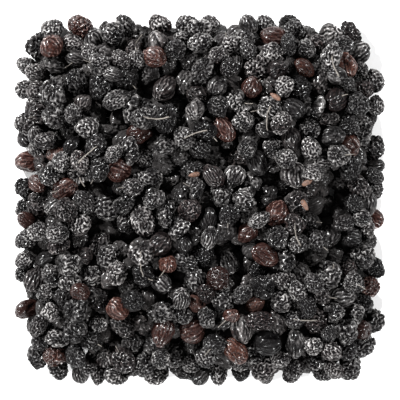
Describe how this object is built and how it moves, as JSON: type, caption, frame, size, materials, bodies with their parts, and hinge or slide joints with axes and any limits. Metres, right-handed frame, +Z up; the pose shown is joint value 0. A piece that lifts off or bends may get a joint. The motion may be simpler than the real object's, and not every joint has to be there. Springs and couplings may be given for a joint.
{
  "type": "cluster of dried elderberries",
  "caption": "Low square-cornered heap of dried near-black elderberries, with some brown berries, a few bare seeds and bits of thin dry stalk on top, and small hollows where berries are missing.",
  "frame": {"origin": "on the surface that the heap lies on, under the middle of its outline", "axes": "+Z up, X and Y along the two sides of the soft square outline"},
  "size_m": [0.087, 0.0872, 0.0167],
  "materials": {
    "black_skin": "shrivelled, near-black with a faint purple bloom, slightly glossy",
    "brown_skin": "shrivelled, red-brown, satin",
    "seed_coat": "matt orange-brown, finely rough",
    "dry_stalk": "matt grey straw"
  },
  "bodies": {
    "root": {"black_berries": "black_skin", "brown_berry_01": "brown_skin", "brown_berry_02": "brown_skin", "brown_berry_03": "brown_skin", "brown_berry_04": "brown_skin", "brown_berry_05": "brown_skin", "brown_berry_06": "brown_skin", "brown_berry_07": "brown_skin", "brown_berry_08": "brown_skin", "brown_berry_09": "brown_skin", "brown_berry_10": "brown_skin", "brown_berry_11": "brown_skin", "brown_berry_12": "brown_skin", "brown_berry_13": "brown_skin", "brown_berry_14": "brown_skin", "brown_berry_15": "brown_skin", "brown_berry_16": "brown_skin", "brown_berry_17": "brown_skin", "brown_berry_18": "brown_skin", "brown_berry_19": "brown_skin", "brown_berry_20": "brown_skin", "brown_berry_21": "brown_skin", "brown_berry_22": "brown_skin", "brown_berry_23": "brown_skin", "brown_berry_24": "brown_skin", "brown_berry_25": "brown_skin", "brown_berry_26": "brown_skin", "brown_berry_27": "brown_skin", "brown_berry_28": "brown_skin", "brown_berry_29": "brown_skin", "brown_berry_30": "brown_skin", "brown_berry_31": "brown_skin", "brown_berry_32": "brown_skin", "brown_berry_33": "brown_skin", "brown_berry_34": "brown_skin", "bare_seed_1": "seed_coat", "bare_seed_2": "seed_coat", "bare_seed_3": "seed_coat", "bare_seed_4": "seed_coat", "stalk_1": "dry_stalk", "stalk_2": "dry_stalk", "stalk_3": "dry_stalk", "stalk_4": "dry_stalk", "stalk_5": "dry_stalk", "stalk_6": "dry_stalk", "stalk_7": "dry_stalk", "stalk_8": "dry_stalk"}
  },
  "joints": []
}
